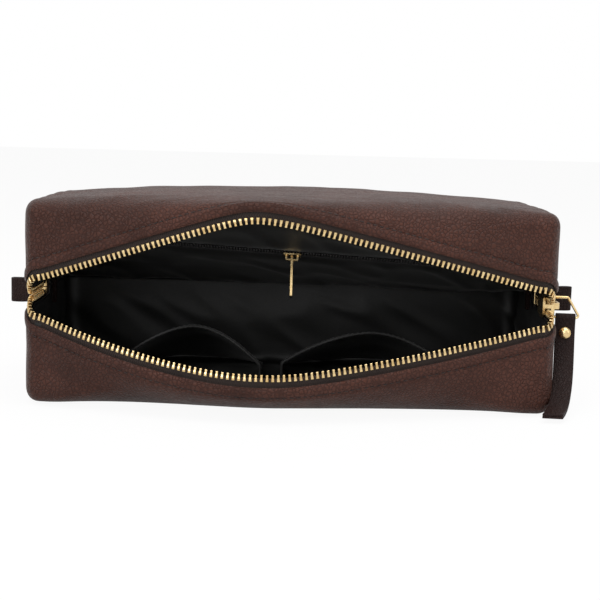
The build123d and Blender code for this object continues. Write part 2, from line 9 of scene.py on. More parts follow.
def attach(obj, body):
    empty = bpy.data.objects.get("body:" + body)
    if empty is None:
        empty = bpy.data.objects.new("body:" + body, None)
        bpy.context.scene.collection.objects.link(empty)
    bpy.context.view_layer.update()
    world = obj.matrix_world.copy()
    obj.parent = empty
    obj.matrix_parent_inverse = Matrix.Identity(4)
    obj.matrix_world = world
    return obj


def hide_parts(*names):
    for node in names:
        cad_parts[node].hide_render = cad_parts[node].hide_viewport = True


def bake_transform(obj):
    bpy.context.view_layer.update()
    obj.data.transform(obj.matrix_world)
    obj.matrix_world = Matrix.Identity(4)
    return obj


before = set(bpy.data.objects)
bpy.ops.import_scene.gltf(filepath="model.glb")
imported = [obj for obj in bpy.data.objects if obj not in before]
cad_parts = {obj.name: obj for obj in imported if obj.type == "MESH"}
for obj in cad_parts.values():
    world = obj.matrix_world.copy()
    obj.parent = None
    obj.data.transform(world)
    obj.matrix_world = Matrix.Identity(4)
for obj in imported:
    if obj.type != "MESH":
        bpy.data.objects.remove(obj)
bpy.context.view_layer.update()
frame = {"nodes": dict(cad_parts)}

# Lengths are in millimetres until a piece is finished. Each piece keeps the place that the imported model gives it.
bag = {"halfLength": 130, "back": 48, "endHeight": 99.7, "crownHeight": 104.6, "crownPower": 2.5,
       "edgeRadius": 8, "leather": 1.4, "cornerX": 122, "flapLine": -40, "zipHeight": 52, "zipEnd": -3,
       "seamHalfGap": 0.15}
mouth = {"openLine": -38, "peakLine": -85, "lift": {"upper": 41, "lower": 30}, "peak": {"upper": -16, "lower": -11},
         "peakWeight": 0.85, "showTape": 4.4, "hem": 2.6, "reach": {"upper": 0.78, "lower": 0.4},
         "fall": {"upper": 0.75, "lower": 0.42}, "floorRise": {"upper": 0, "lower": 0.5}}
zipper = {"pitch": 2.6, "meshedGap": 1.0, "leftGap": 1.8, "noseGap": 3.2, "nose": -33.25, "tail": -20.75,
          "tapeX": 128.05, "tapeRadius": 6.05, "topStop": 4, "tapeWidth": 6.6, "tapeThickness": 0.5,
          "railStep": 0.5}
upDown = {"upper": 1, "lower": -1}


def smooth(part):
    part = min(max(part, 0), 1)
    return part * part * (3 - 2 * part)


def smoothPlace(weight):  # the inverse of the smooth step
    return 0.5 - sin(asin(1 - 2 * weight) / 3)


fullLine = mouth["openLine"] - (mouth["openLine"] - mouth["peakLine"]) / smoothPlace(mouth["peakWeight"])


def mix(a, b, part):
    return a + (b - a) * part


def openingWeight(y):
    return smooth((mouth["openLine"] - y) / (mouth["openLine"] - fullLine))


def openingDepth(weight):
    return mouth["openLine"] - smoothPlace(weight) * (mouth["openLine"] - fullLine)


# How each zip row rises from its corners to its peak: share of the rise at the corner and the peak, and its bulge.
rowShape = {("upper", "left"): (0.17, 1.02, 1.0), ("upper", "right"): (0.13, 1.02, 1.0),
            ("lower", "left"): (0.17, 0.96, 1.55), ("lower", "right"): (0.12, 0.96, 1.2)}


def easedFromZero(part, ease):  # nearly flat at first, then straight
    return (hypot(part, ease) - ease) / (hypot(1, ease) - ease)


def frontRow(side, x):  # depth and half gap of a zip row along the front of the mouth
    peak = mouth["peak"][side]
    span = bag["cornerX"] - peak if x > peak else bag["cornerX"] + peak
    part = min(abs(x - peak) / span, 1)
    atCorner, atPeak, power = rowShape[side, "right" if x > peak else "left"]
    rise = easedFromZero(1 - easedFromZero(part, 0.1) ** power, 0.03)
    cornerWeight = openingWeight(bag["flapLine"] - zipper["tapeRadius"])
    weight = mix(cornerWeight, mouth["peakWeight"], mix(atCorner, atPeak, rise))
    endGap = zipper["noseGap"] if x > peak else zipper["leftGap"]
    gap = mix(zipper["meshedGap"], endGap, smooth(part))
    return openingDepth(weight), gap + mouth["lift"][side] / mouth["peakWeight"] * weight


def endRow(side, onRight, y):  # half gap of a zip row on an end wall
    gap = zipper["leftGap"]
    if onRight:
        part = smooth((zipper["tail"] - y) / (zipper["tail"] - zipper["nose"]))
        gap = mix(zipper["meshedGap"], zipper["noseGap"], part)
    return gap + mouth["lift"][side] / mouth["peakWeight"] * openingWeight(y)


def closedEnd(side, onRight, y, margin, closed):  # an edge beside a zip row, closing behind the zip's end
    return mix(endRow(side, onRight, y) + margin, closed, smooth((y - bag["zipEnd"]) / 5))


def cornerReach(side, onRight):  # how far in front of the wall's fold line a row stands at a corner
    return bag["flapLine"] - frontRow(side, bag["cornerX"] * (1 if onRight else -1))[0]


def crownRise(side, x):  # how much higher the top stands than at its ends
    rise = bag["crownHeight"] - bag["endHeight"] if side == "upper" else 0
    return rise * (1 - abs(x / bag["cornerX"]) ** bag["crownPower"])


def endRail(side, onRight):  # a zip row from its deep end forward and round the corner
    step, turns = zipper["railStep"], 16
    reach, sign = cornerReach(side, onRight), 1 if onRight else -1
    count = int((bag["zipEnd"] - bag["flapLine"]) / step)
    places = [(zipper["tapeX"], bag["zipEnd"] - i * step) for i in range(count)]
    for i in range(turns):
        angle = pi / 2 * i / turns
        places.append((bag["cornerX"] + zipper["tapeRadius"] * cos(angle), bag["flapLine"] - reach * sin(angle)))
    return [(sign * x, y, endRow(side, onRight, y)) for x, y in places]


def rowRail(side):  # closely spaced points of a zip row, from its deep right end round to its deep left end
    count = int(2 * bag["cornerX"] / zipper["railStep"])
    front = []
    for i in range(count + 1):
        x = bag["cornerX"] - i * zipper["railStep"]
        front.append((x, *frontRow(side, x)))
    flat = endRail(side, True) + front + endRail(side, False)[::-1]
    return [Vector((x, y, bag["zipHeight"] + upDown[side] * gap)) for x, y, gap in flat]


def railLength(rail):
    return sum((b - a).length for a, b in zip(rail, rail[1:]))


def along(side, rail, distances):
    # Place, outward direction and direction away from the zip's line, at rising distances along a row.
    frames, travelled, wanted = [], 0, 0
    for a, b in zip(rail, rail[1:]):
        length = (b - a).length
        while wanted < len(distances) and distances[wanted] <= travelled + length + 1e-6:
            travel = (b - a).normalized()
            outward = Vector((-travel.y, travel.x, 0)).normalized()
            aside = outward.cross(travel)
            if aside.z * upDown[side] < 0:
                aside = -aside
            frames.append((a.lerp(b, (distances[wanted] - travelled) / length), outward, aside))
            wanted += 1
        travelled += length
    return frames


# Materials

def setSockets(node, **values):
    for name, value in values.items():
        node.inputs[name.replace("_", " ")].default_value = value
    return node


def rgb(red, green, blue, alpha=1):  # a screen colour, 0 to 255, as Blender's linear colour
    def linear(value):
        value /= 255
        return value / 12.92 if value <= 0.04045 else ((value + 0.055) / 1.055) ** 2.4
    return (linear(red), linear(green), linear(blue), alpha)


def newGroup(name, values, outputs):
    group = bpy.data.node_groups.new(name, "ShaderNodeTree")
    group.interface.new_socket("Place", in_out="INPUT", socket_type="NodeSocketVector")
    for socket, value in values.items():
        made = group.interface.new_socket(socket, in_out="INPUT", socket_type="NodeSocketFloat")
        made.default_value = value
    for socket in outputs:
        group.interface.new_socket(socket, in_out="OUTPUT", socket_type="NodeSocketFloat")
    start = group.nodes.new("NodeGroupInput")
    end = group.nodes.new("NodeGroupOutput")
    start.location, end.location = (-900, 0), (700, 0)
    return group, start, end


def texture(tree, kind, place, **values):
    node = setSockets(tree.nodes.new("ShaderNodeTex" + kind), **values)
    tree.links.new(place, node.inputs["Vector"])
    return node


def mathNode(tree, operation, first, second=None, third=None, clamp=False):
    node = tree.nodes.new("ShaderNodeMath")
    node.operation = operation
    node.use_clamp = clamp
    for socket, value in zip(node.inputs, (first, second, third)):
        if value is None:
            continue
        if isinstance(value, (int, float)):
            socket.default_value = value
        else:
            tree.links.new(value, socket)
    return node.outputs[0]


def pebbleGrain():
    # Small leather pebbles with creases between them, warped so that no cell is regular.
    group, start, end = newGroup("pebbleGrain", {"Cells": 700}, ["Height", "Crease"])
    link = group.links.new
    place, count = start.outputs["Place"], start.outputs["Cells"]
    warp = texture(group, "Noise", place, Scale=160, Detail=2)
    shift = group.nodes.new("ShaderNodeVectorMath")
    shift.operation = "SCALE"
    setSockets(shift, Scale=0.0009)
    moved = group.nodes.new("ShaderNodeVectorMath")
    link(warp.outputs["Color"], shift.inputs[0])
    link(place, moved.inputs[0])
    link(shift.outputs[0], moved.inputs[1])
    cells = texture(group, "Voronoi", moved.outputs[0])
    cells.feature = "DISTANCE_TO_EDGE"
    link(count, cells.inputs["Scale"])
    fine = texture(group, "Noise", place, Detail=3, Roughness=0.6)
    link(mathNode(group, "MULTIPLY", count, 2.3), fine.inputs["Scale"])
    plateau = mathNode(group, "SMOOTH_MIN", mathNode(group, "MULTIPLY", cells.outputs["Distance"], 3.2), 0.7, 0.4)
    height = mathNode(group, "MULTIPLY_ADD", fine.outputs["Fac"], 0.35, plateau)
    # Crease mask for painted shade: it darkens the leather's colour in the grain creases, where shade falls.
    creaseShade = mathNode(group, "SUBTRACT", 1, mathNode(group, "MULTIPLY", cells.outputs["Distance"], 4.5), clamp=True)
    link(height, end.inputs["Height"])
    link(creaseShade, end.inputs["Crease"])
    return group


def unevenTone():
    # Broad cloudy patches of wear and dye.
    group, start, end = newGroup("unevenTone", {"Size": 20, "Contrast": 2}, ["Mask"])
    cloud = texture(group, "Noise", start.outputs["Place"], Detail=5, Roughness=0.62, Distortion=0.4)
    group.links.new(start.outputs["Size"], cloud.inputs["Scale"])
    centred = mathNode(group, "SUBTRACT", cloud.outputs["Fac"], 0.5)
    mask = mathNode(group, "MULTIPLY_ADD", centred, start.outputs["Contrast"], 0.5, clamp=True)
    group.links.new(mask, end.inputs["Mask"])
    return group


def herringbone():
    # Slanting threads that turn back at each rib, on a tape's own map: U along it in metres, V across it.
    group, start, end = newGroup("herringbone", {"Threads": 900, "Ribs": 4}, ["Height", "Thread"])
    parts = group.nodes.new("ShaderNodeSeparateXYZ")
    group.links.new(start.outputs["Place"], parts.inputs[0])
    across = mathNode(group, "MULTIPLY", parts.outputs["Y"], start.outputs["Ribs"])
    zigzag = mathNode(group, "PINGPONG", across, 1)
    slant = mathNode(group, "MULTIPLY_ADD", parts.outputs["X"], start.outputs["Threads"], zigzag)
    thread = mathNode(group, "SINE", mathNode(group, "MULTIPLY", slant, 2 * pi))
    thread = mathNode(group, "MULTIPLY_ADD", thread, 0.5, 0.5)
    rib = mathNode(group, "PINGPONG", across, 0.5)
    height = mathNode(group, "MULTIPLY_ADD", rib, 0.8, thread)
    group.links.new(height, end.inputs["Height"])
    group.links.new(thread, end.inputs["Thread"])
    return group


groups = {"pebble": pebbleGrain(), "tone": unevenTone(), "herringbone": herringbone()}


def newMaterial(name):
    material = bpy.data.materials.new(name)
    material.use_nodes = True
    tree = material.node_tree
    shader = tree.nodes["Principled BSDF"]
    place = tree.nodes.new("ShaderNodeTexCoord")
    place.location = (-1100, 0)
    return material, tree, shader, place


def placedGroup(tree, kind, place, **values):
    node = tree.nodes.new("ShaderNodeGroup")
    node.node_tree = groups[kind]
    tree.links.new(place, node.inputs["Place"])
    return setSockets(node, **values)


def colourRamp(tree, mask, stops):
    ramp = tree.nodes.new("ShaderNodeValToRGB")
    elements = ramp.color_ramp.elements
    while len(elements) < len(stops):
        elements.new(0.5)
    for element, (position, colour) in zip(elements, stops):
        element.position = position
        element.color = colour
    tree.links.new(mask, ramp.inputs[0])
    return ramp.outputs["Color"]


def mixColours(tree, mask, first, second):
    node = tree.nodes.new("ShaderNodeMix")
    node.data_type = "RGBA"
    tree.links.new(mask, node.inputs["Factor"])
    for socket, value in ((node.inputs[6], first), (node.inputs[7], second)):
        if isinstance(value, tuple):
            socket.default_value = value
        else:
            tree.links.new(value, socket)
    return node.outputs[2]


def tonedColour(tree, place, look, size, contrast, margin=0.1):
    tone = placedGroup(tree, "tone", place, Size=size, Contrast=contrast)
    return colourRamp(tree, tone.outputs["Mask"], [(margin, look["dark"]), (1 - margin, look["light"])])


def addBump(tree, shader, height, strength, distance):
    bump = setSockets(tree.nodes.new("ShaderNodeBump"), Strength=strength, Distance=distance)
    tree.links.new(height, bump.inputs["Height"])
    tree.links.new(bump.outputs["Normal"], shader.inputs["Normal"])


def mapRange(tree, value, low, high):
    node = setSockets(tree.nodes.new("ShaderNodeMapRange"), To_Min=low, To_Max=high)
    tree.links.new(value, node.inputs["Value"])
    return node.outputs["Result"]


def leatherMaterial(name, look):
    material, tree, shader, place = newMaterial(name)
    at = place.outputs["Object"]
    grain = placedGroup(tree, "pebble", at, Cells=look["cells"])
    body = tonedColour(tree, at, look, look["patches"], 2.2)
    # Painted shade: the colour is darkened in the grain creases, where shade falls.
    creaseShadeMask = mathNode(tree, "MULTIPLY", grain.outputs["Crease"], look["creaseShadeStrength"])
    creaseShaded = mixColours(tree, creaseShadeMask, body, look["creaseShade"])
    tree.links.new(creaseShaded, shader.inputs["Base Color"])
    fine = placedGroup(tree, "tone", at, Size=look["patches"] * 9, Contrast=1.6)
    tree.links.new(mapRange(tree, fine.outputs["Mask"], *look["roughness"]), shader.inputs["Roughness"])
    setSockets(shader, Specular_IOR_Level=look["gloss"])
    addBump(tree, shader, grain.outputs["Height"], look["bump"], 0.00045)
    return material


def clothMaterial(name, look):
    material, tree, shader, place = newMaterial(name)
    at = place.outputs["Object"]
    stretch = tree.nodes.new("ShaderNodeMapping")
    stretch.inputs["Scale"].default_value = look["stretch"]
    tree.links.new(at, stretch.inputs["Vector"])
    threads = placedGroup(tree, "tone", stretch.outputs[0], Size=look["threads"], Contrast=1.5)
    body = tonedColour(tree, at, look, look["patches"], 1.8)
    shade = mixColours(tree, threads.outputs["Mask"], body, look["thread"])
    tree.links.new(shade, shader.inputs["Base Color"])
    tree.links.new(mapRange(tree, threads.outputs["Mask"], *look["roughness"]), shader.inputs["Roughness"])
    setSockets(shader, Specular_IOR_Level=look["gloss"], Sheen_Weight=look["sheen"], Sheen_Roughness=0.4)
    addBump(tree, shader, threads.outputs["Mask"], look["bump"], 0.00006)
    return material


def tapeMaterial(name, look):
    material, tree, shader, place = newMaterial(name)
    weave = placedGroup(tree, "herringbone", place.outputs["UV"], Threads=look["threads"], Ribs=look["ribs"])
    body = tonedColour(tree, place.outputs["Object"], look, 60, 1.6, 0.15)
    tree.links.new(mixColours(tree, weave.outputs["Thread"], look["gap"], body), shader.inputs["Base Color"])
    tree.links.new(mapRange(tree, weave.outputs["Thread"], 0.85, 0.62), shader.inputs["Roughness"])
    setSockets(shader, Specular_IOR_Level=0.35)
    addBump(tree, shader, weave.outputs["Height"], 0.7, 0.00015)
    return material


def metalMaterial(name, look):
    material, tree, shader, place = newMaterial(name)
    at = place.outputs["Object"]
    body = tonedColour(tree, at, look, look["patches"], 1.8)
    tree.links.new(body, shader.inputs["Base Color"])
    setSockets(shader, Metallic=1)
    rub = placedGroup(tree, "tone", at, Size=look["scratches"], Contrast=2.5)
    tree.links.new(mapRange(tree, rub.outputs["Mask"], *look["roughness"]), shader.inputs["Roughness"])
    addBump(tree, shader, rub.outputs["Mask"], look["bump"], 0.00005)
    return material


# Each leather's crease colour and its strength are painted shade in the grain creases.
leatherLook = {"cells": 520, "patches": 26, "dark": rgb(58, 34, 27), "light": rgb(80, 49, 40),
               "creaseShade": rgb(38, 20, 16), "creaseShadeStrength": 0.6, "roughness": (0.34, 0.5), "gloss": 0.14, "bump": 0.9}
strapLook = {"cells": 700, "patches": 40, "dark": rgb(27, 15, 13), "light": rgb(40, 24, 21), "creaseShade": rgb(18, 9, 8),
             "creaseShadeStrength": 0.5, "roughness": (0.42, 0.6), "gloss": 0.14, "bump": 0.6}
edgeLook = {"cells": 300, "patches": 300, "dark": rgb(30, 20, 18), "light": rgb(46, 32, 29),
            "creaseShade": rgb(22, 14, 12), "creaseShadeStrength": 0.3, "roughness": (0.5, 0.7), "gloss": 0.4, "bump": 0.2}
satinLook = {"stretch": (1, 6, 1), "threads": 900, "patches": 30, "dark": rgb(12, 12, 12), "light": rgb(22, 22, 20),
             "thread": rgb(8, 8, 8), "roughness": (0.42, 0.56), "gloss": 0.32, "sheen": 0.06, "bump": 0.3}
bindingLook = {"stretch": (8, 1, 1), "threads": 700, "patches": 60, "dark": rgb(20, 19, 18), "light": rgb(34, 31, 29),
               "thread": rgb(12, 11, 11), "roughness": (0.6, 0.8), "gloss": 0.3, "sheen": 0.1, "bump": 0.5}
threadLook = {"stretch": (3, 3, 3), "threads": 900, "patches": 90, "dark": rgb(30, 19, 17), "light": rgb(48, 33, 29),
              "thread": rgb(22, 14, 12), "roughness": (0.45, 0.65), "gloss": 0.4, "sheen": 0.1, "bump": 0.5}
zipTapeLook = {"threads": 900, "ribs": 5, "dark": rgb(38, 26, 22), "light": rgb(54, 39, 33), "gap": rgb(18, 12, 10)}
pocketTapeLook = {"threads": 900, "ribs": 6, "dark": rgb(19, 18, 18), "light": rgb(30, 28, 28), "gap": rgb(9, 9, 9)}
brassLook = {"dark": rgb(204, 170, 112), "light": rgb(240, 216, 166), "patches": 240, "scratches": 1500,
             "roughness": (0.2, 0.34), "bump": 0.15}
coilLook = {"stretch": (1, 1, 1), "threads": 600, "patches": 80, "dark": rgb(24, 23, 23), "light": rgb(40, 38, 37),
            "thread": rgb(16, 15, 15), "roughness": (0.28, 0.4), "gloss": 0.5, "sheen": 0, "bump": 0.1}

materials = {
    "leather": leatherMaterial("brownLeather", leatherLook),
    "strap": leatherMaterial("strapLeather", strapLook),
    "edge": leatherMaterial("paintedEdge", edgeLook),
    "satin": clothMaterial("blackSatin", satinLook),
    "binding": clothMaterial("seamBinding", bindingLook),
    "thread": clothMaterial("brownThread", threadLook),
    "zipTape": tapeMaterial("brownZipTape", zipTapeLook),
    "pocketTape": tapeMaterial("blackZipTape", pocketTapeLook),
    "brass": metalMaterial("brass", brassLook),
    "coil": clothMaterial("nylonCoil", coilLook),
}
print("materials made")


# Meshes

def addObject(name, data):
    thing = bpy.data.objects.new(name, data)
    bpy.context.scene.collection.objects.link(thing)
    return thing


def meshFrom(bm, name):
    mesh = bpy.data.meshes.new(name)
    bm.to_mesh(mesh)
    bm.free()
    return mesh


def finishPiece(bm, name, finishes, body, replaced=(), smoothShade=True):
    # Scales a piece from millimetres to metres, shades it, gives it its finishes, hides the parts it replaces and
    # hangs it on its body.
    bmesh.ops.scale(bm, vec=(0.001, 0.001, 0.001), verts=bm.verts)
    for face in bm.faces:
        face.smooth = smoothShade
    piece = addObject(name, meshFrom(bm, name))
    for finish in finishes:
        piece.data.materials.append(materials[finish])
    if replaced:
        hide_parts(*replaced)
    if isinstance(body, str):
        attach(piece, body)
    else:
        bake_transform(piece)
    return piece


def addSolidify(piece, thickness, rim=0):
    wall = piece.modifiers.new("thickness", "SOLIDIFY")
    wall.thickness = thickness * 0.001
    wall.offset = 0
    wall.use_even_offset = False
    wall.material_offset_rim = rim


def addEdgeRounding(piece, width):
    rounding = piece.modifiers.new("roundedEdges", "BEVEL")
    rounding.width = width * 0.001
    rounding.segments = 2
    rounding.limit_method = "ANGLE"
    rounding.angle_limit = radians(50)


def turnedTo(along, facing):  # a turn that takes X along one direction and Z to another
    return Matrix((along, facing.cross(along), facing)).transposed().to_4x4()


def sideFold(side):
    return ("bag", f"{side}_side")


def roundEdges(bm, edges, offset, segments):
    bmesh.ops.bevel(bm, geom=edges, offset=offset, segments=segments, profile=0.5, affect="EDGES", material=-1)


def block(size):
    bm = bmesh.new()
    bmesh.ops.create_cube(bm, size=1)
    bmesh.ops.scale(bm, vec=size, verts=bm.verts)
    return bm


def openBox(halfX, front, back, height, radius, cuts, segments):
    # A rounded box, open below, with even cuts along each of its three directions.
    bm = block((2 * halfX, back - front, height))
    bmesh.ops.translate(bm, vec=(0, (front + back) / 2, height / 2), verts=bm.verts)
    bottom = [face for face in bm.faces if face.normal.z < -0.5]
    bmesh.ops.delete(bm, geom=bottom, context="FACES")
    inner = [edge for edge in bm.edges if not edge.is_boundary]
    roundEdges(bm, inner, radius, segments)
    for axis, count in enumerate(cuts):
        run = []
        for edge in bm.edges:
            line = edge.verts[1].co - edge.verts[0].co
            if line.length > radius * 1.2 and abs(line[axis]) > 0.999 * line.length:
                run.append(edge)
        bmesh.ops.subdivide_edges(bm, edges=run, cuts=count, use_grid_fill=True)
    return bm


def lengthsOf(points):
    lengths = [0]
    for a, b in zip(points, points[1:]):
        lengths.append(lengths[-1] + dist(a, b))
    return lengths


def placeAt(lengths, wanted):  # the part of a line that holds a distance, and the share of that part passed
    place = min(max(bisect_left(lengths, wanted) - 1, 0), len(lengths) - 2)
    return place, (wanted - lengths[place]) / max(lengths[place + 1] - lengths[place], 1e-9)


def linePoint(points, lengths, wanted):
    place, part = placeAt(lengths, wanted)
    return tuple(mix(a, b, part) for a, b in zip(points[place], points[place + 1]))


def resampled(points, count):  # the same line with its points evenly spaced
    lengths = lengthsOf(points)
    return [linePoint(points, lengths, lengths[-1] * i / count) for i in range(count + 1)]


def sectionAt(cache, makeSection, side, x, y, out):
    key = (round(x, 2), round(y, 2), round(out.x, 3), round(out.y, 3))
    if key not in cache:
        section = makeSection(side, x, y, out)
        cache[key] = (section, lengthsOf(section))
    return cache[key]


def bezier(a, b, c, d, count=30):
    points = []
    for i in range(count + 1):
        t = i / count
        weights = ((1 - t) ** 3, 3 * t * (1 - t) ** 2, 3 * t * t * (1 - t), t ** 3)
        points.append(tuple(sum(w * p[k] for w, p in zip(weights, (a, b, c, d))) for k in (0, 1)))
    return points


def wallAndArc(endU, edge, top, radius, count=30):
    # From a wall's edge up the wall and over a rounded edge to its top, as (outward, height) points.
    rise = min(radius, (top - edge) * 0.8)
    arc = []
    for i in range(count + 1):
        angle = pi / 2 * i / count
        arc.append((endU * max(cos(angle), 0) ** 0.8, top - rise + rise * sin(angle) ** 0.8))
    return [(endU, edge)] + arc


def station(point, inner):
    # The nearest point of the box's inner rectangle, the direction out from it, and the distance.
    x = min(max(point.x, inner[0]), inner[1])
    y = min(max(point.y, inner[2]), inner[3])
    out = Vector((point.x - x, point.y - y))
    return x, y, out, out.length


skinRadius = bag["edgeRadius"] - bag["leather"] / 2


def skinSection(side, x, y, out):
    # The leather's middle line at one station, in points of (outward, distance from the zip's level).
    line, corner = bag["flapLine"], bag["cornerX"]
    lift = 1.25
    endU = skinRadius
    top = skinHeight(side) + crownRise(side, x)
    onRight = x > 0
    full = 0
    if out.y < -0.001 and y <= line + 0.01:
        if abs(x) < corner - 0.01 or abs(out.x) < 0.001:
            row, gap = frontRow(side, x)
            ahead, aheadGap = frontRow(side, x + 1)
            behind, behindGap = frontRow(side, x - 1)
            lean = hypot(1, (ahead - behind) / 2)
            climb = hypot(1, (aheadGap - behindGap) / 2)
            edge = gap + mouth["showTape"] * climb
            endU = line - row + lift * lean
            full = smooth((corner - abs(x)) / 50)
        else:
            reach = hypot(out.x / zipper["tapeRadius"], out.y / cornerReach(side, onRight)) ** -1
            edge = endRow(side, onRight, line + reach * out.y) + mouth["showTape"]
            endU = reach + lift
    elif abs(out.x) > 0.001 and y < bag["zipEnd"] + 5 and out.y < 0.001:
        edge = closedEnd(side, onRight, y, mouth["showTape"], bag["seamHalfGap"])
    else:
        edge = bag["seamHalfGap"]
    boxed = resampled(wallAndArc(endU, edge, top, skinRadius), 60)
    if full == 0:
        return boxed
    hem = edge + mouth["hem"]
    fall = (endU, hem + mouth["fall"][side] * (top - hem))
    reach = (mouth["reach"][side] * endU, top - mouth["floorRise"][side])
    hood = [(endU, edge)] + bezier((endU, hem), fall, reach, (0, top))
    hood = resampled(hood, 60)
    return [tuple(mix(a, b, full) for a, b in zip(p, q)) for p, q in zip(boxed, hood)]


skin = {"cuts": (140, 32, 36), "segments": 10, "edgeBand": 12, "grading": 1.6, "hemRise": 0.7, "hemWidth": 3.6,
        "hemStep": 1.2, "stitchLine": 5.2, "groove": 0.4, "grooveWidth": 0.8, "seamCurl": 1.5, "curlWidth": 1.1,
        "calmEdge": 6, "sag": 0.8, "wrinkle": 0.5}
innerRectangle = (-bag["cornerX"], bag["cornerX"], bag["flapLine"], bag["back"] - bag["edgeRadius"])


def skinHeight(side):
    half = bag["leather"] / 2
    return bag["endHeight"] - half - bag["zipHeight"] if side == "upper" else bag["zipHeight"] - half


def placeOnSkin(cache, side, x, y, out, reach):
    # A point of the leather at a station, reach millimetres up the leather from its free edge.
    section, lengths = sectionAt(cache, skinSection, side, x, y, out)
    band = skin["edgeBand"]
    if reach > band:
        boxReach = skinHeight(side) - skinRadius + skinRadius * pi / 2
        reach = band + (reach - band) * (lengths[-1] - band) / (boxReach - band)
    u, h = linePoint(section, lengths, reach)
    return Vector((x + out.x * u, y + out.y * u, bag["zipHeight"] + upDown[side] * h))


def makeSkin(side):
    height = skinHeight(side)
    wall = height - skinRadius
    bm = openBox(bag["cornerX"] + skinRadius, bag["flapLine"] - skinRadius, bag["back"] - bag["leather"] / 2, height,
                 skinRadius, skin["cuts"], skin["segments"])
    reaches = bm.verts.layers.float.new("reach")
    cache = {}
    for vertex in bm.verts:
        x, y, out, outward = station(vertex.co, innerRectangle)
        if outward < 1e-4:
            vertex.co.z = bag["zipHeight"] + upDown[side] * (height + crownRise(side, x))
            vertex[reaches] = 60
            continue
        out = out / outward
        if vertex.co.z <= wall:
            reach = wall * (vertex.co.z / wall) ** skin["grading"]
        else:
            reach = wall + skinRadius * min(pi / 2 - atan2(outward, vertex.co.z - wall), pi / 2)
        vertex[reaches] = reach
        vertex.co = placeOnSkin(cache, side, x, y, out, reach)
    if side == "lower":
        bmesh.ops.reverse_faces(bm, faces=bm.faces)
    bm.normal_update()
    moves = []
    for vertex in bm.verts:
        reach, co = vertex[reaches], vertex.co
        onMouth = 1 - smooth((co.y - bag["zipEnd"] + 2) / 5)
        past = smooth((reach - skin["hemWidth"]) / skin["hemStep"])
        hem = skin["hemRise"] * (1 - past) * smooth(reach / skin["hemStep"])
        groove = skin["groove"] * exp(-((reach - skin["stitchLine"]) / skin["grooveWidth"]) ** 2)
        curl = skin["seamCurl"] * exp(-(reach / skin["curlWidth"]) ** 2) * (1 - onMouth)
        settled = smooth((reach - skin["calmEdge"]) / 20)
        broad = noise.noise(co * 0.018 + Vector((3.1, 7.7, 1.3)) * upDown[side]) * skin["sag"]
        tight = noise.noise(Vector((co.x * 0.05, co.y * 0.09, co.z * 0.07))) * skin["wrinkle"]
        floor = 1 if side == "upper" else smooth((co.z - 0.7) / 9)
        moves.append((hem - groove) * onMouth - curl + (broad + tight) * settled * floor)
    for vertex, move in zip(bm.verts, moves):
        vertex.co += vertex.normal * move
    piece = finishPiece(bm, f"{side}_skin", ["leather", "edge"], sideFold(side),
                        (f"{side}_leather", f"{side}_mouth_flap"))
    addSolidify(piece, bag["leather"], rim=1)
    addEdgeRounding(piece, 0.35)


for side in upDown:
    makeSkin(side)
print("leather made")


stitching = {"pitch": 3.2, "length": 2.5, "thread": 0.3}


def mouthStations():
    # Stations round the mouth from the deep right end to the deep left end, 0.5 mm apart or closer.
    corner, line, start = bag["cornerX"], bag["flapLine"], bag["zipEnd"] - 2
    count = int(start - line) * 2
    angles = [radians(a) for a in range(0, 90, 4)]
    stations = [(corner, start - i * 0.5, Vector((1, 0))) for i in range(count)]
    stations += [(corner, line, Vector((cos(angle), -sin(angle)))) for angle in angles]
    stations += [(corner - i * 0.5, line, Vector((0, -1))) for i in range(int(4 * corner) + 1)]
    stations += [(-corner, line, Vector((-cos(angle), -sin(angle)))) for angle in angles[::-1]]
    return stations + [(-corner, line + i * 0.5, Vector((-1, 0))) for i in range(1, count)]


def makeStitches(side):
    cache, lines = {}, []
    for reach in (skin["stitchLine"], skin["stitchLine"] + 1):
        lines.append([placeOnSkin(cache, side, *place, reach) for place in mouthStations()])
    bm = bmesh.new()
    middle = Vector((0, 20, bag["zipHeight"]))
    travelled, wanted = 0, stitching["pitch"]
    for i in range(len(lines[0]) - 1):
        a, b = lines[0][i], lines[0][i + 1]
        travelled += (b - a).length
        if travelled < wanted or (b - a).length < 1e-6:
            continue
        wanted += stitching["pitch"]
        run = (b - a).normalized()
        aside = (lines[1][i] - a).normalized()
        outward = aside.cross(run).normalized()
        if outward.dot(a - middle) < 0:
            outward = -outward
        sized = Matrix.Diagonal((stitching["length"] / 2, stitching["thread"], stitching["thread"] * 0.8, 1))
        raised = outward * (bag["leather"] / 2 - skin["groove"] + stitching["thread"] / 2)
        place = Matrix.Translation(a + raised) @ turnedTo(run, outward) @ sized
        bmesh.ops.create_uvsphere(bm, u_segments=6, v_segments=4, radius=1, matrix=place)
    bmesh.ops.recalc_face_normals(bm, faces=bm.faces)
    finishPiece(bm, f"{side}_topstitching", ["thread"], sideFold(side))


for side in upDown:
    makeStitches(side)
print("stitches made")


def gridStrip(stations, across, uvLength):
    # A flat grid whose map runs in metres along it and from 0 to 1 across it.
    bm = bmesh.new()
    bm.loops.layers.uv.new("UVMap")
    bmesh.ops.create_grid(bm, x_segments=stations, y_segments=across, size=1, calc_uvs=True)
    layer = bm.loops.layers.uv.active
    for face in bm.faces:
        for loop in face.loops:
            co = loop.vert.co
            loop[layer].uv = ((co.x + 1) / 2 * uvLength, (co.y + 1) / 2)
    return bm


